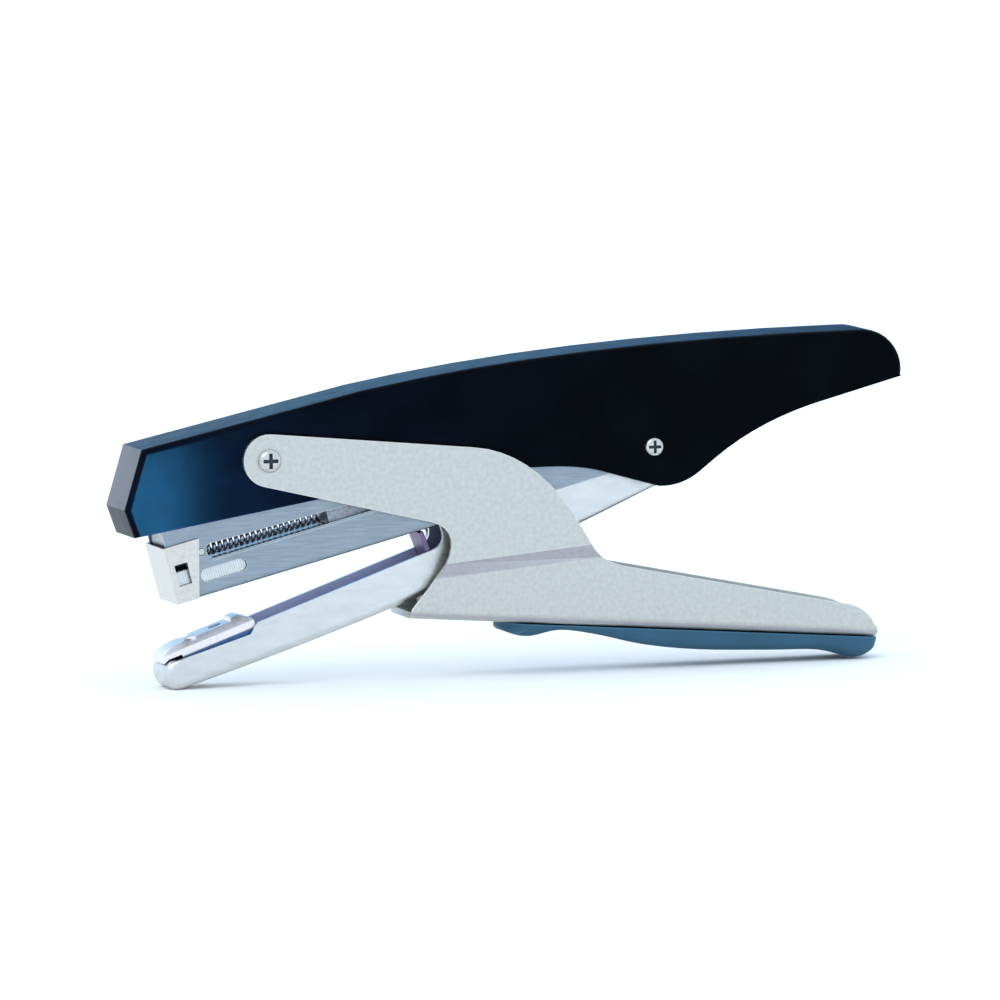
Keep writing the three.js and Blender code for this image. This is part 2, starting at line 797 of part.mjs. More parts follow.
const magazineSpine = [uv(magazineWebRear, magazineFloor), uv(webFront, magazineFloor)];
const magazineRim = [
  uv(magazineFront - GAP, magazineFloor),
  uv(magazineFront - GAP, magazineTopFront),
  uv(40, magazineTopAt(40)),
  uv(1, magazineEar),
  ...arc(0, 0, magazineEar, 90, -60, 10),
  uv(3, magazineFloor),
];
const magazineMouth = [
  uv(webFront, magazineFloor - 10),
  uv(magazineFront + 20, magazineFloor - 10),
  uv(magazineFront + 20, 40),
  uv(-20, 40),
  uv(-20, magazineFloor - 10),
  uv(magazineWebRear, magazineFloor - 10),
];
const anchorPin = { u: 98.5, v: 5.9, radius: 0.7 };
const springSlot = slab(
  [
    ...arc(-slotFront + 1.2, slotLow + 1.2, 1.2, 270, 180, 4),
    ...arc(-slotFront + 1.2, slotHighFront - 1.2, 1.2, 180, 90, 4),
    ...arc(-slotRear - 1, slotHighRear - 1, 1, 90, 0, 4),
    ...arc(-slotRear - 1, slotLow + 1, 1, 0, -90, 4),
  ].reverse(),
  -magazineWidth,
  magazineWidth,
);
let magazineChannel = foldedChannel({
  spine: magazineSpine,
  rim: magazineRim,
  mouth: magazineMouth,
  width: magazineWidth,
  wall: magazineWall,
  bend: magazineBend,
})
  .subtract(pivotHole)
  .subtract(springSlot)
  .subtract(stadium(-windowFront, -windowRear, windowLevel, windowHeight, magazineWidth))
  .subtract(
    bar(-anchorPin.u, anchorPin.v, anchorPin.radius + GAP / 2, -magazineWidth, magazineWidth, 16),
  );
// The sheet is folded outwards under the spring slot, as a narrow lip.
const lipReach = 0.4;
const lipHeight = 0.5;
for (const side of [-1, 1]) {
  const inner = side * (magazineWidth / 2 - magazineWall / 2);
  const outer = side * (magazineWidth / 2 + lipReach);
  const lip = box(
    -slotFront + 0.6,
    -slotRear - 0.6,
    Math.min(inner, outer),
    Math.max(inner, outer),
    slotLow - lipHeight,
    slotLow,
  );
  magazineChannel = magazineChannel.add(lip);
}
const frontWindow = (halfWidth) =>
  box(-noseWindow.front, -noseWindow.rear, -halfWidth, halfWidth, noseWindow.low, noseWindow.high);
magazineChannel = magazineChannel.subtract(frontWindow(magazineWidth));
magazineBody.add(mesh("magazine_channel", magazineChannel, satinNickel));

const noseOuterU = magazineFront + noseWall;
const noseBlock = slab(
  [
    uv(noseOuterU, magazineFloor),
    uv(noseOuterU, noseTop),
    uv(magazineFront - noseFlangeHigh, noseTop),
    uv(magazineFront - noseFlangeLow, magazineFloor),
  ],
  -noseWidth / 2,
  noseWidth / 2,
);
const noseHollow = box(
  -magazineFront,
  -(magazineFront - 20),
  -noseWidth / 2 + noseWall,
  noseWidth / 2 - noseWall,
  magazineFloor - 1,
  noseTop + 1,
);
const magazineNose = noseBlock.subtract(noseHollow).subtract(frontWindow(noseWidth));
magazineBody.add(mesh("magazine_nose", magazineNose, brightNickel));

const anchorPinSolid = bar(
  -anchorPin.u,
  anchorPin.v,
  anchorPin.radius,
  -magazineWidth / 2,
  magazineWidth / 2,
  16,
);
magazineBody.add(mesh("spring_anchor_pin", anchorPinSolid, zinc));

// The rail that the staples straddle: an inverted channel open below.
const railHalf = stapleCrown / 2 - stapleWire - GAP;
const railTop = magazineFloor + magazineWall + stapleLeg - stapleWire - GAP / 2;
const railWall = 0.8;
const railBottom = magazineFloor + magazineWall + GAP;
const stapleRail = box(-webFront, -magazineWebRear, -railHalf, railHalf, railBottom, railTop).subtract(
  box(
    -webFront - 1,
    -magazineWebRear + 1,
    -railHalf + railWall,
    railHalf - railWall,
    railBottom - 1,
    railTop - railWall,
  ),
);
magazineBody.add(mesh("staple_rail", stapleRail, steel));

const stapleTop = railTop + GAP + stapleWire;
const stripFront = driverInner - GAP;
const strip = (x0, x1) =>
  box(x0, x1, -stapleCrown / 2, stapleCrown / 2, stapleTop - stapleLeg, stapleTop).subtract(
    box(
      x0 - 1,
      x1 + 1,
      -stapleCrown / 2 + stapleWire,
      stapleCrown / 2 - stapleWire,
      stapleTop - stapleLeg - 1,
      stapleTop - stapleWire,
    ),
  );
magazineBody.add(mesh("staple_strip", strip(-stripFront, -stripFront + stripLength), zinc));

// The pusher rides astride the rail behind the strip; its upper block shows in the slot.
const pusherFront = stripFront - stripLength - GAP;
const pusherRear = pusherFront - pusherLength;
const pusher = box(
  -pusherFront,
  -pusherRear,
  -stapleCrown / 2,
  stapleCrown / 2,
  railBottom,
  pusherTop,
).subtract(
  box(
    -pusherFront - 1,
    -pusherRear + 1,
    -railHalf - GAP,
    railHalf + GAP,
    railBottom - 1,
    railTop + GAP,
  ),
);
magazineBody.add(mesh("pusher", pusher, satinNickel));

// The coil that pulls the pusher forward, as the plain bar that its turns fill.
const pusherSpringRadius = 1.7;
const pusherSpring = rod(
  { x: -(anchorPin.u - anchorPin.radius - GAP), z: springLevel },
  { x: -(pusherFront + GAP), z: springLevel },
  0,
  pusherSpringRadius,
  16,
);
magazineBody.add(mesh("pusher_spring", pusherSpring, spring));

// The saddle on the magazine's upper edges that carries the magazine spring.
const seat = { u: 63, length: 9, lip: 2.4, wall: 0.6 };
const seatHalf = magazineWidth / 2 + GAP / 2 + seat.wall - 0.1;
const seatFront = seat.u + seat.length / 2;
const seatRear = seat.u - seat.length / 2;
const seatLevel = (u, rise) => magazineTopAt(u) + GAP / 2 + rise;
const seatBlock = slab(
  [
    uv(seatFront, seatLevel(seatFront, -seat.lip)),
    uv(seatFront, seatLevel(seatFront, seat.wall)),
    uv(seatRear, seatLevel(seatRear, seat.wall)),
    uv(seatRear, seatLevel(seatRear, -seat.lip)),
  ].reverse(),
  -seatHalf,
  seatHalf,
);
const seatHollow = slab(
  [
    uv(seatFront + 1, seatLevel(seatFront, -seat.lip) - 3),
    uv(seatFront + 1, seatLevel(seatFront + 1, 0)),
    uv(seatRear - 1, seatLevel(seatRear - 1, 0)),
    uv(seatRear - 1, seatLevel(seatRear, -seat.lip) - 3),
  ].reverse(),
  -seatHalf + seat.wall - 0.1,
  seatHalf - seat.wall + 0.1,
);
magazineBody.add(mesh("magazine_spring_seat", seatBlock.subtract(seatHollow), steel));

// ---------------------------------------------------------------- springs inside the lever

const coilRadius = 3;
const coilWire = 0.8;
const seatPoint = fromTilted(seat.u, seatLevel(seat.u, seat.wall), magazineTilt);
const coilBottom = seatPoint.z + coilRadius * Math.tan(magazineTilt) + GAP;
const coilTop = leverTopAt(seatPoint.x - coilRadius) - carrierHeadroom;
const upright = (bottom, top, radius) =>
  rod({ x: seatPoint.x, z: bottom }, { x: seatPoint.x, z: top }, 0, radius, 20);
const coil = upright(coilBottom, coilTop, coilRadius).subtract(
  upright(coilBottom - 1, coilTop + 1, coilRadius - coilWire),
);
leverBody.add(mesh("magazine_spring", coil, spring));

// The torsion spring on the rear sleeve: its upper leg bears on the lever, its lower leg on the jaw's web.
const torsionWire = 0.5;
const torsionInner = rearSleeveRadius + GAP;
const torsionOuter = torsionInner + 2 * torsionWire;
const torsionHalf = jawInside - 2 * GAP;
const torsionMiddle = (torsionInner + torsionOuter) / 2;
const upperLegEnd = { x: -24, z: leverTopZ - 6 };
const lowerLegEnd = fromTilted(26, -8.1, jawTilt);
const jawSpring = tube(0, 0, torsionOuter, torsionInner, torsionHalf)
  .add(rod({ x: 0, z: torsionMiddle }, upperLegEnd, torsionHalf - torsionWire, torsionWire))
  .add(rod({ x: 0, z: -torsionMiddle }, lowerLegEnd, torsionWire - torsionHalf, torsionWire));
leverBody.add(mesh("jaw_spring", jawSpring, spring));

// ---------------------------------------------------------------- standing on the origin

stapler.updateMatrixWorld(true);
const bounds = new THREE.Box3().setFromObject(stapler, true);
const middle = bounds.getCenter(new THREE.Vector3());
stapler.position.set(-middle.x, -middle.y, -bounds.min.z);

const standing = new THREE.Group();
standing.add(stapler);

export default standing;
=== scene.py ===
# A plier stapler: a black enamelled upper lever with a closed head, a nickel-plated lower handle hung
# outside it, and an anvil jaw and a staple magazine hung inside it. Everything is in metres.
import math

import bmesh
import bpy
from mathutils import Matrix, Vector


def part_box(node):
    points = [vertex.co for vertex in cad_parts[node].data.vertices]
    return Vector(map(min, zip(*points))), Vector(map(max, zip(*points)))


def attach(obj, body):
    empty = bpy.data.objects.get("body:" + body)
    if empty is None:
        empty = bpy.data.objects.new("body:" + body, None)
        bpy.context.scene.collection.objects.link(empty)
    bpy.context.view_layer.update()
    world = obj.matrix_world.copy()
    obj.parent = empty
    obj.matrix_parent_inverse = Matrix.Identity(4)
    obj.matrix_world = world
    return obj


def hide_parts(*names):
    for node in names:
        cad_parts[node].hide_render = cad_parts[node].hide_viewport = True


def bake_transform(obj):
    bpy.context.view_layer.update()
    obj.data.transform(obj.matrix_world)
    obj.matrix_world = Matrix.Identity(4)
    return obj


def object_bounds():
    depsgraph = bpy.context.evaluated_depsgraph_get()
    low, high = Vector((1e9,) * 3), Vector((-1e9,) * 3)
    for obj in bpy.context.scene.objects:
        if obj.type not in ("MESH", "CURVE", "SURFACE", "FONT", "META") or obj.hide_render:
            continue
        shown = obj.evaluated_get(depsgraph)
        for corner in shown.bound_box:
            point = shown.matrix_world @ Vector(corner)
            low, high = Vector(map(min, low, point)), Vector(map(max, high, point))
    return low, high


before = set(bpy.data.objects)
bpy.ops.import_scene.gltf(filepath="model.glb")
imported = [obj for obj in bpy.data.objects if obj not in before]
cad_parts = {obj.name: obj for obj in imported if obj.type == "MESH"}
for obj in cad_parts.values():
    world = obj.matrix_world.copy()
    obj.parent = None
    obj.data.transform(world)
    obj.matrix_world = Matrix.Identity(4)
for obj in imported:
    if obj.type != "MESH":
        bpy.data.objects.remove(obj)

MM = 0.001
cad_low, cad_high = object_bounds()


# ---------------------------------------------------------------- room
# A white paper sweep in a bright room: a seamless pale floor, cool daylight from all round, and one
# large soft lamp high on the left. The tool is seen from its left side and a little above.
def linear(colour):
    """An sRGB hex colour as linear red, green, blue and alpha."""
    channels = [int(colour[start : start + 2], 16) / 255 for start in (1, 3, 5)]
    return (*[c / 12.92 if c <= 0.04045 else ((c + 0.055) / 1.055) ** 2.4 for c in channels], 1)


def add(tree, kind, inputs=None, **settings):
    """Adds a node with its settings. An input is a value, or another node's output to link."""
    made = tree.nodes.new(kind)
    for name, value in settings.items():
        setattr(made, name, value)
    for name, value in (inputs or {}).items():
        if isinstance(value, bpy.types.NodeSocket):
            tree.links.new(value, made.inputs[name])
        else:
            made.inputs[name].default_value = value
    return made


def surface(name):
    """A new material, its tree, its shader and its Object coordinates."""
    material = bpy.data.materials.new(name)
    material.use_nodes = True
    tree = material.node_tree
    where = add(tree, "ShaderNodeTexCoord").outputs["Object"]
    return material, tree, tree.nodes["Principled BSDF"], where


def speckle(tree, where, size, detail=2.0):
    """Noise with lumps of that real size."""
    noise = add(
        tree,
        "ShaderNodeTexNoise",
        {"Vector": where, "Scale": 1 / size, "Detail": detail, "Roughness": 0.5},
    )
    return noise.outputs["Fac"]


def between(tree, factor, low, high):
    """A number that goes from low to high as the factor goes from 0.3 to 0.7, where noise lies."""
    spread = add(
        tree,
        "ShaderNodeMapRange",
        {"Value": factor, "From Min": 0.3, "From Max": 0.7, "To Min": low, "To Max": high},
    )
    return spread.outputs["Result"]


def shades(tree, factor, dark, light):
    """A colour that goes from dark to light as the factor goes from 0.3 to 0.7."""
    ramp = add(tree, "ShaderNodeValToRGB", {"Fac": factor})
    ramp.color_ramp.elements[0].position = 0.3
    ramp.color_ramp.elements[0].color = linear(dark)
    ramp.color_ramp.elements[1].position = 0.7
    ramp.color_ramp.elements[1].color = linear(light)
    return ramp.outputs["Color"]


def relief(tree, height, depth, strength=0.5):
    """A bump of that real depth."""
    bump = add(
        tree, "ShaderNodeBump", {"Height": height, "Distance": depth, "Strength": strength}
    )
    return bump.outputs["Normal"]


FLOOR_RADIUS = 6.0
FLOOR_SIDES = 64
PAPER_CLOUD = 0.4

white_paper, tree, shader, where = surface("white_matt_paper")
# Matt paper: even and white, with the faint cloudiness of its fibres.
fibres = speckle(tree, where, PAPER_CLOUD)
tree.links.new(shades(tree, fibres, "#FFFAF4", "#FFFDF8"), shader.inputs["Base Color"])
shader.inputs["Roughness"].default_value = 0.9
shader.inputs["Specular IOR Level"].default_value = 0.1

floor_mesh = bpy.data.meshes.new("floor")
shape = bmesh.new()
bmesh.ops.create_circle(shape, cap_ends=True, segments=FLOOR_SIDES, radius=FLOOR_RADIUS)
bmesh.ops.translate(shape, verts=shape.verts, vec=(0, 0, cad_low[2]))
shape.to_mesh(floor_mesh)
shape.free()
floor = bpy.data.objects.new("floor", floor_mesh)
bpy.context.scene.collection.objects.link(floor)
floor_mesh.materials.append(white_paper)

DAYLIGHT_COLOUR = (0.68, 0.82, 1.0, 1)
DAYLIGHT_STRENGTH = 1.5

daylight = bpy.data.worlds.new("cool_daylight")
daylight.use_nodes = True
sky = daylight.node_tree.nodes["Background"]
sky.inputs["Color"].default_value = DAYLIGHT_COLOUR
sky.inputs["Strength"].default_value = DAYLIGHT_STRENGTH
bpy.context.scene.world = daylight


def softbox(name, place, aim, size, power, colour=(1, 1, 1)):
    """A square lamp that faces its aim. The camera doesn't see it."""
    light = bpy.data.lights.new(name, "AREA")
    light.shape = "SQUARE"
    light.size = size
    light.energy = power
    light.color = colour
    lamp = bpy.data.objects.new(name, light)
    lamp.location = place
    lamp.rotation_euler = (Vector(aim) - Vector(place)).to_track_quat("-Z", "Y").to_euler()
    lamp.visible_camera = False
    bpy.context.scene.collection.objects.link(lamp)
    return lamp


softbox(
    "high_softbox",
    place=(-1.2, -1.5, 1.7),
    aim=(0, 0, 0.03),
    size=1.4,
    power=9,
    colour=(1.0, 0.97, 0.93),
)

# The camera stands far off with a long lens, so that the tool is drawn almost without perspective.
CAMERA_AIM = Vector((-0.00116, 0.00077, 0.0361))
CAMERA_DISTANCE = 3.0
CAMERA_AZIMUTH = math.radians(-15)
CAMERA_ELEVATION = math.radians(5)
CAMERA_ROLL = math.radians(1.13)
CAMERA_LENS = 517.3
CAMERA_FAR_LIMIT = 50

toward_camera = Vector(
    (
        math.sin(CAMERA_AZIMUTH) * math.cos(CAMERA_ELEVATION),
        -math.cos(CAMERA_AZIMUTH) * math.cos(CAMERA_ELEVATION),
        math.sin(CAMERA_ELEVATION),
    )
)
camera = bpy.data.objects.new("camera", bpy.data.cameras.new("camera"))
camera.data.lens = CAMERA_LENS
camera.data.clip_end = CAMERA_FAR_LIMIT
level = toward_camera.to_track_quat("Z", "Y").to_matrix().to_4x4()
turn = Matrix.Rotation(-CAMERA_ROLL, 4, toward_camera) @ level
camera.matrix_world = Matrix.Translation(CAMERA_AIM + toward_camera * CAMERA_DISTANCE) @ turn
bpy.context.scene.collection.objects.link(camera)
bpy.context.scene.camera = camera
bpy.context.scene.view_settings.view_transform = "Standard"


# ---------------------------------------------------------------- upper lever
# The pressed steel lever that lies in the palm: one sheet folded over the top, down both cheeks and
# round the head and the rear end, then dipped and stoved in black enamel.
SAME_PLACE = 0.002 * MM
SAME_PLANE = math.radians(0.4)
SHARP_CORNER = math.radians(32)


def finished(node, edge, material, body):
    """A pressed piece with its cut edges broken: the shape of a CAD node, merged and bevelled."""
    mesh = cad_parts[node].data.copy()
    shape = bmesh.new()
    shape.from_mesh(mesh)
    bmesh.ops.remove_doubles(shape, verts=shape.verts, dist=SAME_PLACE)
    bmesh.ops.dissolve_limit(shape, angle_limit=SAME_PLANE, verts=shape.verts, edges=shape.edges)
    shape.to_mesh(mesh)
    shape.free()
    mesh.materials.clear()
    mesh.materials.append(material)
    mesh.shade_smooth()
    piece = bpy.data.objects.new(node + "_finished", mesh)
    bpy.context.scene.collection.objects.link(piece)
    bevel = piece.modifiers.new("broken edge", "BEVEL")
    bevel.width = edge
    bevel.segments = 2
    bevel.limit_method = "ANGLE"
    bevel.angle_limit = SHARP_CORNER
    bevel.use_clamp_overlap = True
    flat = piece.modifiers.new("flat faces", "WEIGHTED_NORMAL")
    flat.keep_sharp = True
    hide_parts(node)
    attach(piece, body)
    return piece


# How nearly a face's rounded normal agrees with its true one, where the lighter edge colour starts and
# where it is full. That colour is partly wear and partly a painted highlight on edges that catch the
# light.
WEAR_AND_HIGHLIGHT_STARTS = 0.98
WEAR_AND_HIGHLIGHT_FULL = 0.88


def wear_and_highlight_edge(tree, radius):
    """Near 1 along rounded and cut edges, and 0 on flat faces."""
    rounded = add(tree, "ShaderNodeBevel", {"Radius": radius}, samples=4)
    true_normal = add(tree, "ShaderNodeNewGeometry").outputs["Normal"]
    alike = add(
        tree,
        "ShaderNodeVectorMath",
        {0: rounded.outputs["Normal"], 1: true_normal},
        operation="DOT_PRODUCT",
    )
    edge = add(
        tree,
        "ShaderNodeMapRange",
        {"Value": alike.outputs["Value"], "From Min": WEAR_AND_HIGHLIGHT_STARTS, "From Max": WEAR_AND_HIGHLIGHT_FULL},
    )
    return edge.outputs["Result"]


def mixed(tree, factor, first, second):
    """One colour turning into another."""
    mix = add(tree, "ShaderNodeMix", {0: factor, 6: first, 7: second}, data_type="RGBA")
    return mix.outputs[2]


ORANGE_PEEL = 1.6 * MM

black_enamel, tree, shader, where = surface("black_stoved_enamel")
# Stoved enamel: deep black with a blue cast, a soft sheen and a very slight orange peel. Along the cut
# edges it is greyer and bluer: partly where it drew back thin in the oven, partly a painted highlight.
enamel = shades(tree, speckle(tree, where, 12 * MM), "#010204", "#04060B")
thin_and_highlit = mixed(tree, wear_and_highlight_edge(tree, 0.3 * MM), enamel, linear("#10202E"))
tree.links.new(thin_and_highlit, shader.inputs["Base Color"])
sheen = between(tree, speckle(tree, where, 5 * MM), 0.2, 0.26)
tree.links.new(sheen, shader.inputs["Roughness"])
peel = relief(tree, speckle(tree, where, ORANGE_PEEL, 1.0), 0.01 * MM)
tree.links.new(peel, shader.inputs["Normal"])
shader.inputs["Specular IOR Level"].default_value = 0.025

lever = finished("upper_lever", 0.2 * MM, black_enamel, "upper_lever")

# Two small lamps pick out the black lever alone: a glow beside the head that fades along the cheek, and
# one behind it that draws the head's front.
lever_only = bpy.data.collections.new("lever_only")
lever_only.objects.link(lever)
lever_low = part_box("upper_lever")[0]
head = Vector((lever_low.x, lever_low.y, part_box("front_pivot_screw")[0].z))

for name, offset, aim, size, power, colour in (
    ("head_glow", (0.011, -0.055, -0.012), (-0.004, 0, -0.008), 0.03, 0.34, (0.06, 0.45, 1.0)),
    ("head_front_glow", (-0.09, 0.3, -0.01), (0, 0, 0), 0.15, 0.19, (0.7, 0.79, 1.0)),
):
    lamp = softbox(name, head + Vector(offset), head + Vector(aim), size, power, colour)
    lamp.light_linking.receiver_collection = lever_only

# A blue card stands behind the tool, for reflections only: the enamelled top mirrors it, lighter towards
# the head and darker towards the rear.
CARD_LEFT, CARD_RIGHT = -0.12, 0.4
CARD_FOOT_LEFT, CARD_FOOT_RIGHT, CARD_TOP = 0.11, 0.04, 0.3
CARD_PLACE = 0.35
CARD_LIGHT_TO, CARD_DARK_FROM = 0.04, 0.26
CARD_STRENGTH = 1.4

blue_card, tree, shader, where = surface("painted_blue_card")
# Matt blue paint lit from its left end, so the blue deepens to the right. The light that falls on it is
# given as a glow of the paint.
across = add(tree, "ShaderNodeSeparateXYZ", {"Vector": where}).outputs["X"]
fall = add(
    tree,
    "ShaderNodeMapRange",
    {"Value": across, "From Min": CARD_LIGHT_TO, "From Max": CARD_DARK_FROM},
)
blue = mixed(tree, fall.outputs["Result"], linear("#80B8E8"), linear("#08406E"))
tree.links.new(blue, shader.inputs["Emission Color"])
shader.inputs["Emission Strength"].default_value = CARD_STRENGTH
shader.inputs["Base Color"].default_value = (0, 0, 0, 1)
shader.inputs["Specular IOR Level"].default_value = 0

card_mesh = bpy.data.meshes.new("blue_card")
corners = [
    (x, CARD_PLACE, z)
    for x, z in (
        (CARD_LEFT, CARD_FOOT_LEFT),
        (CARD_RIGHT, CARD_FOOT_RIGHT),
        (CARD_RIGHT, CARD_TOP),
        (CARD_LEFT, CARD_TOP),
    )
]
card_mesh.from_pydata(corners, [], [(0, 1, 2, 3)])
card_mesh.materials.append(blue_card)
card = bpy.data.objects.new("blue_card", card_mesh)
bpy.context.scene.collection.objects.link(card)
card.visible_camera = False
card.visible_diffuse = False
card.visible_shadow = False


# ---------------------------------------------------------------- driver and its carrier
# The blade that pushes the staple out, hardened and ground, and the block that two rivets fasten it to.
# Both are fixed in the head, and only the tip of the blade shows below it.
GRIND_LINE = 0.25 * MM

hard_steel, tree, shader, where = surface("hardened_ground_steel")
# Ground steel: grey, with fine lines along the stroke and a few dull patches of oil.
along = add(tree, "ShaderNodeMapping", {"Vector": where, "Scale": (1, 1, 0.06)}).outputs["Vector"]
lines = speckle(tree, along, GRIND_LINE, 3.0)
tree.links.new(shades(tree, lines, "#8E8D90", "#ABABAE"), shader.inputs["Base Color"])
tree.links.new(between(tree, speckle(tree, where, 4 * MM), 0.28, 0.42), shader.inputs["Roughness"])
tree.links.new(relief(tree, lines, 0.004 * MM), shader.inputs["Normal"])
shader.inputs["Metallic"].default_value = 1

plain_steel, tree, shader, where = surface("turned_mild_steel")
# Turned or pressed mild steel: mid grey and a little oily, with tool marks too fine to see as lines.
marks = speckle(tree, where, 0.6 * MM, 3.0)
tree.links.new(shades(tree, marks, "#84868B", "#A0A2A6"), shader.inputs["Base Color"])
tree.links.new(between(tree, speckle(tree, where, 3 * MM), 0.34, 0.48), shader.inputs["Roughness"])
tree.links.new(relief(tree, marks, 0.006 * MM), shader.inputs["Normal"])
shader.inputs["Metallic"].default_value = 1

finished("driver_blade", 0.06 * MM, hard_steel, "upper_lever")
for node in ("driver_carrier", "driver_rivet_upper", "driver_rivet_lower"):
    finished(node, 0.15 * MM, plain_steel, "upper_lever")


# ---------------------------------------------------------------- lower handle and its grip
# The plated channel that the fingers pull: two round ears on the front screw, joggled inwards below so
# that the hand meets a narrower handle. A dark moulded grip is pressed onto its lower edges.
PLATE_MOTTLE = 0.9 * MM

satin_nickel, tree, shader, where = surface("satin_nickel_plate")
# Satin nickel on blasted steel: pale, faintly green, with a fine even mottle. Its edges are lighter:
# partly rubbed bright, partly a painted highlight.
mottle = speckle(tree, where, PLATE_MOTTLE, 4.0)
plate = shades(tree, mottle, "#BEBBB3", "#CAC8C1")
bright = mixed(tree, wear_and_highlight_edge(tree, 0.3 * MM), plate, linear("#E4E0D6"))
tree.links.new(bright, shader.inputs["Base Color"])
tree.links.new(between(tree, speckle(tree, where, 2.5 * MM), 0.4, 0.48), shader.inputs["Roughness"])
tree.links.new(relief(tree, mottle, 0.012 * MM), shader.inputs["Normal"])
shader.inputs["Metallic"].default_value = 1

MOULD_GRAIN = 0.5 * MM

moulded_grip, tree, shader, where = surface("moulded_pvc_grip")
# Moulded PVC: dark teal-blue and half matt, with the fine leather-like grain of the mould. It is lighter
# along its rounded edges: partly rubbed smoother, partly a painted highlight.
grain = speckle(tree, where, MOULD_GRAIN, 3.0)
skin = shades(tree, speckle(tree, where, 9 * MM), "#2A5266", "#315B72")
rubbed_and_highlit = mixed(tree, wear_and_highlight_edge(tree, 0.6 * MM), skin, linear("#4A7A90"))
tree.links.new(rubbed_and_highlit, shader.inputs["Base Color"])
tree.links.new(between(tree, grain, 0.5, 0.62), shader.inputs["Roughness"])
tree.links.new(relief(tree, grain, 0.03 * MM), shader.inputs["Normal"])
shader.inputs["Specular IOR Level"].default_value = 0.3

joggle_shade_nickel, tree, shader, where = surface("nickel_with_painted_shade_on_the_joggle")
# Painted shade on the joggle's downward-leaning outer faces: the nickel there is a little darker and
# mauve.
mottle = speckle(tree, where, PLATE_MOTTLE, 4.0)
tree.links.new(shades(tree, mottle, "#B4AFB2", "#BFBABD"), shader.inputs["Base Color"])
tree.links.new(between(tree, mottle, 0.36, 0.42), shader.inputs["Roughness"])
tree.links.new(relief(tree, mottle, 0.008 * MM), shader.inputs["Normal"])
shader.inputs["Metallic"].default_value = 1

# The joggle's outer faces lean from the flat cheeks by an angle between these two.
JOGGLE_LEAST = math.radians(22)
JOGGLE_MOST = math.radians(36)

handle = finished("lower_handle", 0.18 * MM, satin_nickel, "lower_handle")
# The joggle's outer faces take the nickel with painted shade.
handle.data.materials.append(joggle_shade_nickel)
for face in handle.data.polygons:
    leans = math.cos(JOGGLE_MOST) < abs(face.normal.y) < math.cos(JOGGLE_LEAST)
    faces_out = face.center.y * face.normal.y > 0
    if leans and faces_out:
        face.material_index = 1
finished("lower_grip", 0.35 * MM, moulded_grip, "lower_handle")


# ---------------------------------------------------------------- pivots
# Each pivot is a turned sleeve, a cross-recessed screw from the left and a slotless nut from the right,
# zinc plated. The front one carries the handle's ears, the rear one the jaw and the magazine.
zinc_plate, tree, shader, where = surface("bright_zinc_plate")
# Bright zinc on turned steel: silvery with a faint cloudiness, and lighter along its edges and round the
# recess: partly worn bright, partly a painted highlight.
cloud = speckle(tree, where, 0.5 * MM, 3.0)
silver = shades(tree, cloud, "#B9B4AC", "#D0CBC4")
tree.links.new(
    mixed(tree, wear_and_highlight_edge(tree, 0.2 * MM), silver, linear("#EDEAE4")), shader.inputs["Base Color"]
)
tree.links.new(between(tree, cloud, 0.2, 0.3), shader.inputs["Roughness"])
tree.links.new(relief(tree, cloud, 0.006 * MM), shader.inputs["Normal"])
shader.inputs["Metallic"].default_value = 1

recess_shade, tree, shader, where = surface("painted_shade_in_a_recess")
# Painted shade in the screw's recess: nearly black, with a dull sheen.
recess_mottle = speckle(tree, where, 0.3 * MM, 2.0)
tree.links.new(shades(tree, recess_mottle, "#1C2430", "#2C3644"), shader.inputs["Base Color"])
tree.links.new(between(tree, recess_mottle, 0.4, 0.6), shader.inputs["Roughness"])
tree.links.new(relief(tree, recess_mottle, 0.02 * MM), shader.inputs["Normal"])

# Depths below the top of a screw's head, and the recess's reach as a share of the head's radius.
RECESS_RIM = 0.1 * MM
RECESS_FLOOR = 0.4 * MM
RECESS_BOTTOM = 1.0 * MM
RECESS_REACH = 0.7


def darken_recess(screw):
    """Painted shade on the recess of a screw: its floor and walls, which lie inside the head."""
    mesh = screw.data
    mesh.materials.append(recess_shade)
    low = [min(corner.co[axis] for corner in mesh.vertices) for axis in range(3)]
    high = [max(corner.co[axis] for corner in mesh.vertices) for axis in range(3)]
    middle = Vector(((low[0] + high[0]) / 2, 0, (low[2] + high[2]) / 2))
    reach = RECESS_REACH * (high[0] - low[0]) / 2
    for face in mesh.polygons:
        away = face.center - middle
        depth = face.center.y - low[1]
        within = math.hypot(away.x, away.z) < reach
        is_wall = abs(face.normal.y) < 0.5
        if within and RECESS_RIM < depth < RECESS_BOTTOM and (is_wall or depth > RECESS_FLOOR):
            face.material_index = 1


for pivot, body in (("front_pivot", "lower_handle"), ("rear_pivot", "upper_lever")):
    finished(pivot + "_sleeve", 0.15 * MM, plain_steel, body)
    screw = finished(pivot + "_screw", 0.08 * MM, zinc_plate, body)
    darken_recess(screw)
    finished(pivot + "_nut", 0.12 * MM, zinc_plate, body)


# ---------------------------------------------------------------- jaw
# The lower jaw: a plated channel from the nose to the rear screw, with the hardened anvil riveted on its
# nose and an upright stop for the paper in its throat.
bright_nickel, tree, shader, where = surface("bright_nickel_plate")
# Bright nickel on rolled steel: silvery, with long faint ripples from the rolling under the plate.
along = add(tree, "ShaderNodeMapping", {"Vector": where, "Scale": (0.3, 1, 1)}).outputs["Vector"]
ripple = speckle(tree, along, 2 * MM)
silver = shades(tree, ripple, "#CBCAC5", "#D5D4D0")
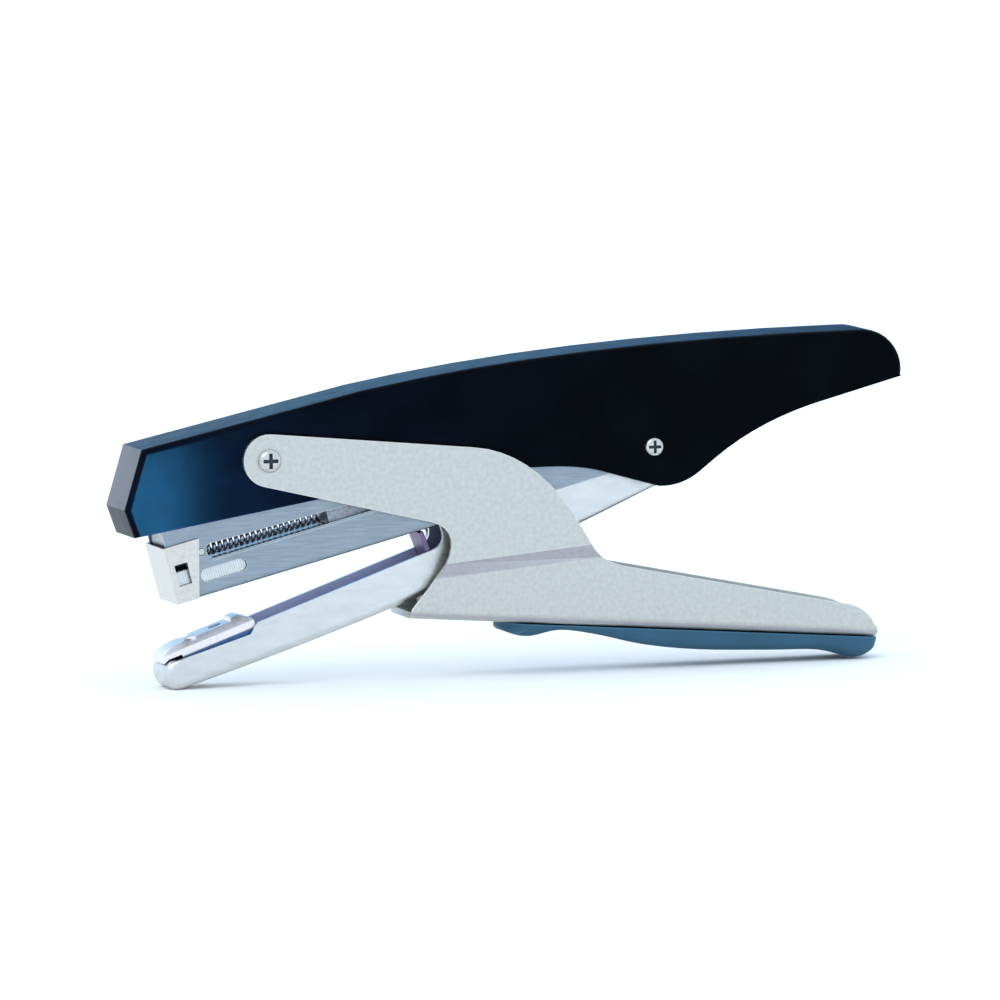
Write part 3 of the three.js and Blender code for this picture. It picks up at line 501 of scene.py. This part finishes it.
# Lighter along the edges: partly wear, partly a painted highlight.
tree.links.new(
    mixed(tree, wear_and_highlight_edge(tree, 0.25 * MM), silver, linear("#ECE8E0")), shader.inputs["Base Color"]
)
tree.links.new(between(tree, speckle(tree, where, 1.2 * MM), 0.26, 0.36), shader.inputs["Roughness"])
tree.links.new(relief(tree, ripple, 0.003 * MM, 0.15), shader.inputs["Normal"])
shader.inputs["Metallic"].default_value = 1

channel_inside_shade, tree, shader, where = surface("nickel_with_painted_shade_inside_a_channel")
# Inside the channel the plating is unpolished and rougher than outside, and bluish as a painted shade.
cloud = speckle(tree, where, 3 * MM, 3.0)
tree.links.new(shades(tree, cloud, "#C6C6E0", "#D0D0E8"), shader.inputs["Base Color"])
tree.links.new(between(tree, cloud, 0.42, 0.52), shader.inputs["Roughness"])
tree.links.new(relief(tree, cloud, 0.01 * MM), shader.inputs["Normal"])
shader.inputs["Metallic"].default_value = 1


# A channel's inner faces lie this far in from its outer sides, or further, and look across it.
WALL = 1 * MM
LOOKS_ACROSS = 0.7


def line_inside(piece, material, half_width):
    """Gives a channel's inner faces a second material, the painted shade: those that look inwards, within
    its walls.
    """
    piece.data.materials.append(material)
    for face in piece.data.polygons:
        faces_in = face.center.y * face.normal.y < 0 and abs(face.normal.y) > LOOKS_ACROSS
        if faces_in and abs(face.center.y) < half_width:
            face.material_index = 1


jaw_frame = finished("jaw_frame", 0.16 * MM, bright_nickel, "jaw")
jaw_low, jaw_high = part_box("jaw_frame")
line_inside(jaw_frame, channel_inside_shade, (jaw_high.y - jaw_low.y) / 2 - WALL)

JAW_TILT = math.radians(19.7)
GROUND_BAND = 1.7 * MM
BAND_SOFTNESS = 0.15 * MM

anvil_ground_and_shaded, tree, shader, where = surface("ground_top_over_painted_shade")
# Hardened steel whose top and its bevels are ground bright and faintly pink. Below the ground band its
# sides are dark blue: painted shade, for the hollow of the jaw under the anvil's top. The band's edge is
# soft.
# Heights are measured from the rear pivot, square to the jaw.
screw_low, screw_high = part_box("rear_pivot_screw")
rear_pivot = Vector(((screw_low.x + screw_high.x) / 2, 0, (screw_low.z + screw_high.z) / 2))
up_from_jaw = Vector((-math.sin(JAW_TILT), 0, math.cos(JAW_TILT)))
anvil_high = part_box("anvil_plate")[1]
anvil_top = (anvil_high.x - rear_pivot.x) * up_from_jaw.x + (anvil_high.z - rear_pivot.z) * up_from_jaw.z
from_pivot = add(tree, "ShaderNodeVectorMath", {0: where, 1: rear_pivot}, operation="SUBTRACT")
height = add(
    tree,
    "ShaderNodeVectorMath",
    {0: from_pivot.outputs["Vector"], 1: up_from_jaw},
    operation="DOT_PRODUCT",
)
band = add(
    tree,
    "ShaderNodeMapRange",
    {
        "Value": height.outputs["Value"],
        "From Min": anvil_top - GROUND_BAND - BAND_SOFTNESS,
        "From Max": anvil_top - GROUND_BAND + BAND_SOFTNESS,
    },
)
grind = speckle(tree, where, 0.7 * MM, 3.0)
# Painted shade below the band in dark blue, and the bright ground top above it.
tree.links.new(
    mixed(
        tree,
        band.outputs["Result"],
        shades(tree, grind, "#3C5C80", "#4A6C92"),
        shades(tree, grind, "#E6DCD8", "#F2EAE6"),
    ),
    shader.inputs["Base Color"],
)
tree.links.new(between(tree, grind, 0.32, 0.42), shader.inputs["Roughness"])
tree.links.new(relief(tree, grind, 0.006 * MM), shader.inputs["Normal"])
shader.inputs["Metallic"].default_value = 1

finished("anvil_plate", 0.12 * MM, anvil_ground_and_shaded, "jaw")
finished("anvil_rivet", 0.12 * MM, plain_steel, "jaw")

tempered_and_shaded, tree, shader, where = surface("steel_tempered_purple_and_shaded")
# Spring steel tempered to a dull purple, which shades to brown where it grew hottest. Its purple is partly
# painted shade, for the shadow in the jaw's throat where it stands.
heat = speckle(tree, where, 4 * MM, 2.0)
tree.links.new(shades(tree, heat, "#6E6482", "#8A7488"), shader.inputs["Base Color"])
tree.links.new(between(tree, heat, 0.4, 0.5), shader.inputs["Roughness"])
tree.links.new(relief(tree, heat, 0.006 * MM), shader.inputs["Normal"])
shader.inputs["Metallic"].default_value = 1

finished("paper_stop", 0.12 * MM, tempered_and_shaded, "jaw")


# ---------------------------------------------------------------- magazine
# The staple channel, folded from thin rolled sheet, with a second plate wrapped round its front, the
# core that the staples straddle, the pin that holds the pusher's spring and the seat of the coil above.
MAGAZINE_TILT = math.radians(14)
BRUSH_LINE = 0.35 * MM

rolled_sheet, tree, shader, where = surface("brushed_rolled_steel")
# Rolled steel sheet, brushed along its length and lightly oiled: a blue-grey, streaked along the channel.
streak = add(
    tree,
    "ShaderNodeMapping",
    {"Vector": where, "Rotation": (0, MAGAZINE_TILT, 0), "Scale": (0.05, 1, 1)},
)
lines = speckle(tree, streak.outputs["Vector"], BRUSH_LINE, 3.0)
sheet = shades(tree, lines, "#868F96", "#98A1A8")
# Much lighter along the edges: partly wear, partly a painted highlight.
tree.links.new(
    mixed(tree, wear_and_highlight_edge(tree, 0.2 * MM), sheet, linear("#D8DADA")), shader.inputs["Base Color"]
)
tree.links.new(between(tree, speckle(tree, where, 3 * MM), 0.26, 0.38), shader.inputs["Roughness"])
tree.links.new(relief(tree, lines, 0.008 * MM), shader.inputs["Normal"])
shader.inputs["Metallic"].default_value = 1

nose_plate, tree, shader, where = surface("polished_spring_steel")
# Spring steel, tumbled bright: warm silver, smoother than the channel that it wraps.
tumble = speckle(tree, where, 0.8 * MM, 3.0)
warm = shades(tree, tumble, "#C9C2B8", "#D6D0C6")
# Lighter along the edges: partly wear, partly a painted highlight.
tree.links.new(
    mixed(tree, wear_and_highlight_edge(tree, 0.2 * MM), warm, linear("#F0ECE2")), shader.inputs["Base Color"]
)
tree.links.new(between(tree, tumble, 0.26, 0.36), shader.inputs["Roughness"])
tree.links.new(relief(tree, tumble, 0.006 * MM), shader.inputs["Normal"])
shader.inputs["Metallic"].default_value = 1

finished("magazine_channel", 0.1 * MM, rolled_sheet, "magazine")
finished("magazine_nose", 0.1 * MM, nose_plate, "magazine")
finished("staple_rail", 0.1 * MM, plain_steel, "magazine")
finished("spring_anchor_pin", 0.1 * MM, zinc_plate, "magazine")
finished("magazine_spring_seat", 0.12 * MM, rolled_sheet, "magazine")
finished("pusher", 0.2 * MM, plain_steel, "pusher")


# ---------------------------------------------------------------- staples
# A strip of bright galvanised staples, cemented side by side with their crowns up, astride the core
# rail. The pusher holds it against the front of the magazine.
def new_tree(name, values):
    """An empty Geometry Nodes tree with a named input for each value, and its input node."""
    tree = bpy.data.node_groups.new(name, "GeometryNodeTree")
    tree.interface.new_socket("Geometry", in_out="OUTPUT", socket_type="NodeSocketGeometry")
    kinds = {
        int: "NodeSocketInt",
        float: "NodeSocketFloat",
        Vector: "NodeSocketVector",
        bpy.types.Material: "NodeSocketMaterial",
    }
    for label, value in values.items():
        tree.interface.new_socket(label, in_out="INPUT", socket_type=kinds[type(value)])
    return tree, tree.nodes.new("NodeGroupInput").outputs


def close_tree(tree, shape, material):
    """Ends a tree: real geometry rather than instances, in its own material."""
    real = add(tree, "GeometryNodeRealizeInstances", {"Geometry": shape})
    coated = add(
        tree,
        "GeometryNodeSetMaterial",
        {"Geometry": real.outputs["Geometry"], "Material": material},
    )
    add(tree, "NodeGroupOutput", {"Geometry": coated.outputs["Geometry"]})


SMOOTH_BELOW = math.radians(40)


def grown(name, tree, values, place):
    """What a tree makes from these values, as a plain mesh object in its place."""
    seed = bpy.data.objects.new(name, bpy.data.meshes.new(name))
    bpy.context.scene.collection.objects.link(seed)
    modifier = seed.modifiers.new("shape", "NODES")
    modifier.node_group = tree
    for socket in tree.interface.items_tree:
        if socket.in_out == "INPUT":
            modifier[socket.identifier] = values[socket.name]
    graph = bpy.context.evaluated_depsgraph_get()
    mesh = bpy.data.meshes.new_from_object(seed.evaluated_get(graph), depsgraph=graph)
    bpy.data.objects.remove(seed)
    mesh.transform(place)
    mesh.shade_smooth()
    mesh.set_sharp_from_angle(angle=SMOOTH_BELOW)
    piece = bpy.data.objects.new(name, mesh)
    bpy.context.scene.collection.objects.link(piece)
    return piece


def math_node(tree, operation, first, second):
    """One sum on two numbers."""
    return add(tree, "ShaderNodeMath", {0: first, 1: second}, operation=operation).outputs[0]


galvanised, tree, shader, where = surface("galvanised_staple_wire")
# Galvanised wire: bright and cool, with the dull film of the cement that holds the strip together.
film = speckle(tree, where, 1.5 * MM, 3.0)
tree.links.new(shades(tree, film, "#C9C9C4", "#DAD9D4"), shader.inputs["Base Color"])
tree.links.new(between(tree, film, 0.22, 0.34), shader.inputs["Roughness"])
tree.links.new(relief(tree, film, 0.005 * MM), shader.inputs["Normal"])
shader.inputs["Metallic"].default_value = 1

# The strip's rear end and top are measured forward and upward from the rear pivot, along the magazine.
PITCH = 0.5 * MM
STRIP_REAR = 70.9 * MM
STRIP_TOP = 3.45 * MM
staple_sizes = {
    "Crown": 11.94 * MM,
    "Leg": 5.77 * MM,
    "Wire": 0.46 * MM,
    "Bend": 0.45 * MM,
    "Pitch": PITCH,
    "Count": 68,
}
staple_values = {**staple_sizes, "Material": galvanised}

tree, given = new_tree("row_of_staples", staple_values)
line = add(tree, "GeometryNodeCurvePrimitiveLine")
four = add(tree, "GeometryNodeResampleCurve", {"Curve": line.outputs["Curve"], "Count": 4})
number = add(tree, "GeometryNodeInputIndex").outputs["Index"]
from_middle = math_node(tree, "SUBTRACT", number, 1.5)
side = add(tree, "ShaderNodeMath", {0: from_middle}, operation="SIGN").outputs[0]
distance = add(tree, "ShaderNodeMath", {0: from_middle}, operation="ABSOLUTE").outputs[0]
is_tip = math_node(tree, "GREATER_THAN", distance, 1.0)
half_crown = math_node(tree, "MULTIPLY", given["Crown"], 0.5)
leg_down = math_node(tree, "MULTIPLY", given["Leg"], -1.0)
corner = add(
    tree,
    "ShaderNodeCombineXYZ",
    {
        "Y": math_node(tree, "MULTIPLY", side, half_crown),
        "Z": math_node(tree, "MULTIPLY", is_tip, leg_down),
    },
)
bent = add(
    tree,
    "GeometryNodeSetPosition",
    {"Geometry": four.outputs["Curve"], "Position": corner.outputs["Vector"]},
)
rounded = add(
    tree,
    "GeometryNodeFilletCurve",
    {"Curve": bent.outputs["Geometry"], "Radius": given["Bend"], "Count": 3},
    mode="POLY",
)
section = add(
    tree,
    "GeometryNodeCurvePrimitiveQuadrilateral",
    {"Width": given["Wire"], "Height": given["Wire"]},
)
wire = add(
    tree,
    "GeometryNodeCurveToMesh",
    {"Curve": rounded.outputs["Curve"], "Profile Curve": section.outputs["Curve"], "Fill Caps": True},
)
step = add(tree, "ShaderNodeCombineXYZ", {"X": given["Pitch"]})
row = add(
    tree,
    "GeometryNodeMeshLine",
    {"Count": given["Count"], "Offset": step.outputs["Vector"]},
)
strip = add(
    tree,
    "GeometryNodeInstanceOnPoints",
    {"Points": row.outputs["Mesh"], "Instance": wire.outputs["Mesh"]},
)
close_tree(tree, strip.outputs["Instances"], given["Material"])

# The magazine's own frame, from the rear pivot: x forward along it, y to its left and z upward.
in_magazine = Matrix.Translation(rear_pivot) @ Matrix(
    (
        (-math.cos(MAGAZINE_TILT), 0, -math.sin(MAGAZINE_TILT), 0),
        (0, -1, 0, 0),
        (-math.sin(MAGAZINE_TILT), 0, math.cos(MAGAZINE_TILT), 0),
        (0, 0, 0, 1),
    )
)
half_wire = staple_sizes["Wire"] / 2
strip_place = Matrix.Translation((STRIP_REAR + PITCH / 2, 0, STRIP_TOP - half_wire))
staples = grown("staples", tree, staple_values, in_magazine @ strip_place)
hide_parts("staple_strip")
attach(staples, "magazine")


# ---------------------------------------------------------------- springs
# Three springs of drawn wire: the tension coil in the magazine's slot that pulls the pusher forward, the
# coil in the head that presses the magazine down, and the torsion coil round the rear sleeve whose legs
# push the lever and the jaw apart.
spring_wire, tree, shader, where = surface("drawn_spring_wire")
# Drawn wire: mid grey with a slight blue of the heat treatment, smooth, with faint die lines.
die = speckle(tree, where, 0.4 * MM, 2.0)
tree.links.new(shades(tree, die, "#AAB2BE", "#C2CAD6"), shader.inputs["Base Color"])
tree.links.new(between(tree, die, 0.24, 0.34), shader.inputs["Roughness"])
tree.links.new(relief(tree, die, 0.004 * MM), shader.inputs["Normal"])
shader.inputs["Metallic"].default_value = 1


def coil(name, radius, wire, turns, height, place, steps=20):
    """A coil of round wire that climbs along its own z."""
    values = {
        "Radius": radius,
        "Wire": wire / 2,
        "Turns": turns,
        "Height": height,
        "Steps": steps,
        "Material": spring_wire,
    }
    return grown(name, coil_tree, values, place)


def straight_wire(name, wire, start, end):
    """A straight length of the same wire."""
    values = {"Wire": wire / 2, "Start": Vector(start), "End": Vector(end), "Material": spring_wire}
    return grown(name, straight_tree, values, Matrix.Identity(4))


def wire_along(tree, curve, given):
    """Round wire drawn along a curve, its ends closed."""
    section = add(
        tree, "GeometryNodeCurvePrimitiveCircle", {"Radius": given["Wire"], "Resolution": 10}
    )
    return add(
        tree,
        "GeometryNodeCurveToMesh",
        {"Curve": curve, "Profile Curve": section.outputs["Curve"], "Fill Caps": True},
    )


coil_tree, given = new_tree(
    "coil_of_wire",
    {"Radius": 0.0, "Wire": 0.0, "Turns": 0.0, "Height": 0.0, "Steps": 0, "Material": spring_wire},
)
helix = add(
    coil_tree,
    "GeometryNodeCurveSpiral",
    {
        "Resolution": given["Steps"],
        "Rotations": given["Turns"],
        "Start Radius": given["Radius"],
        "End Radius": given["Radius"],
        "Height": given["Height"],
    },
)
close_tree(
    coil_tree, wire_along(coil_tree, helix.outputs["Curve"], given).outputs["Mesh"], given["Material"]
)

straight_tree, given = new_tree(
    "straight_wire",
    {"Wire": 0.0, "Start": Vector(), "End": Vector(), "Material": spring_wire},
)
line = add(
    straight_tree, "GeometryNodeCurvePrimitiveLine", {"Start": given["Start"], "End": given["End"]}
)
close_tree(
    straight_tree,
    wire_along(straight_tree, line.outputs["Curve"], given).outputs["Mesh"],
    given["Material"],
)

# The pusher's spring, stretched along the slot.
SLOT_SPRING_REAR = 71.2 * MM
SLOT_SPRING_FRONT = 97.2 * MM
SLOT_SPRING_LEVEL = 5.3 * MM
slot_spring = coil(
    "slot_spring",
    radius=1.25 * MM,
    wire=0.9 * MM,
    turns=21.0,
    height=SLOT_SPRING_FRONT - SLOT_SPRING_REAR,
    place=in_magazine
    @ Matrix.Translation((SLOT_SPRING_REAR, 0, SLOT_SPRING_LEVEL))
    @ Matrix.Rotation(math.radians(90), 4, "Y"),
    steps=16,
)
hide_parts("pusher_spring")
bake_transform(slot_spring)

# The coil in the head, upright between the lever's web and the seat on the magazine.
head_spring_low, head_spring_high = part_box("magazine_spring")
head_spring_middle = (head_spring_low + head_spring_high) / 2
HEAD_WIRE = 0.8 * MM
head_spring = coil(
    "head_spring",
    radius=3 * MM,
    wire=HEAD_WIRE,
    turns=7.0,
    height=head_spring_high.z - head_spring_low.z - HEAD_WIRE,
    place=Matrix.Translation(
        (head_spring_middle.x, head_spring_middle.y, head_spring_low.z + HEAD_WIRE / 2)
    ),
)
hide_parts("magazine_spring")
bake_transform(head_spring)

# The torsion coil. Each leg leaves it along a tangent, at one end of the coil.
JAW_WIRE = 1.0 * MM
JAW_COIL_RADIUS = 3.2 * MM
JAW_COIL_HALF = 4 * MM
UPPER_LEG = (-24 * MM, 16.7 * MM)
LOWER_LEG = (-21.75 * MM, -16.4 * MM)


def tangent(leg, side):
    """The angle, from +x towards +z, at which a straight leg to that point leaves the coil."""
    reach = math.hypot(*leg)
    return math.atan2(leg[1], leg[0]) + side * math.acos(JAW_COIL_RADIUS / reach)


upper_start = tangent(UPPER_LEG, -1)
lower_start = tangent(LOWER_LEG, 1)
WHOLE_TURNS = 6
part_turn = ((lower_start - upper_start) / math.tau) % 1
jaw_coil = coil(
    "jaw_spring_coil",
    radius=JAW_COIL_RADIUS,
    wire=JAW_WIRE,
    turns=WHOLE_TURNS + part_turn,
    height=2 * JAW_COIL_HALF,
    place=Matrix.Translation(rear_pivot - Vector((0, JAW_COIL_HALF, 0)))
    @ Matrix.Rotation(math.radians(-90), 4, "X")
    @ Matrix.Rotation(-lower_start, 4, "Z"),
)
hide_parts("jaw_spring")
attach(jaw_coil, "upper_lever")

for name, leg, start, y, body in (
    ("jaw_spring_upper_leg", UPPER_LEG, upper_start, JAW_COIL_HALF, "upper_lever"),
    ("jaw_spring_lower_leg", LOWER_LEG, lower_start, -JAW_COIL_HALF, "jaw"),
):
    on_coil = Vector((JAW_COIL_RADIUS * math.cos(start), y, JAW_COIL_RADIUS * math.sin(start)))
    leg_piece = straight_wire(
        name, JAW_WIRE, rear_pivot + on_coil, rear_pivot + Vector((leg[0], y, leg[1]))
    )
    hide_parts("jaw_spring")
    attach(leg_piece, body)
